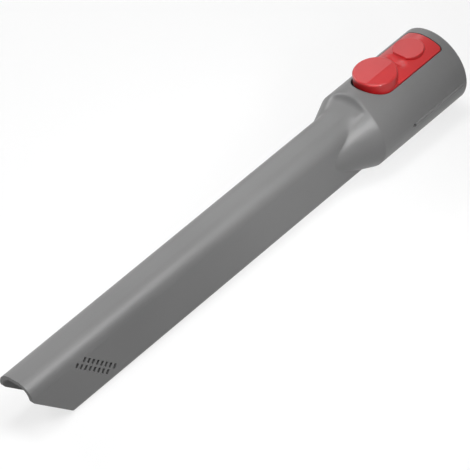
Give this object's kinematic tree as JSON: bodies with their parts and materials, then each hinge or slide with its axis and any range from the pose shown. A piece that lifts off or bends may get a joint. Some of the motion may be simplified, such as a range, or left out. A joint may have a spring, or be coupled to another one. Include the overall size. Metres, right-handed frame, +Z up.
{
  "type": "vacuum crevice nozzle",
  "caption": "Long flat crevice nozzle for a stick vacuum, with a slanted suction tip, bleed slots, a round push-fit collar and a red rocker release button.",
  "frame": {"origin": "centre of the socket's mouth, at the collar's rim", "axes": "+X along the nozzle out of the socket, -X towards the suction tip, +Z up through the release button"},
  "size_m": [0.295, 0.0434, 0.0452],
  "materials": {
    "body_grey": "fine moulded satin",
    "button_red": "gloss",
    "spring_steel": "drawn wire"
  },
  "bodies": {
    "body": {"nozzle_body": "body_grey", "button_spring": "spring_steel"},
    "button": {"release_button": "button_red"}
  },
  "joints": [
    {"name": "button_press", "type": "hinge", "parent": "body", "child": "button", "pos_m": [-0.027, 0, 0.015], "axis": [0, -1, 0], "range_deg": [0, 4], "stiffness_Nm_per_rad": 0.3, "springref_deg": -6.88, "deforming": ["button_spring"]}
  ]
}
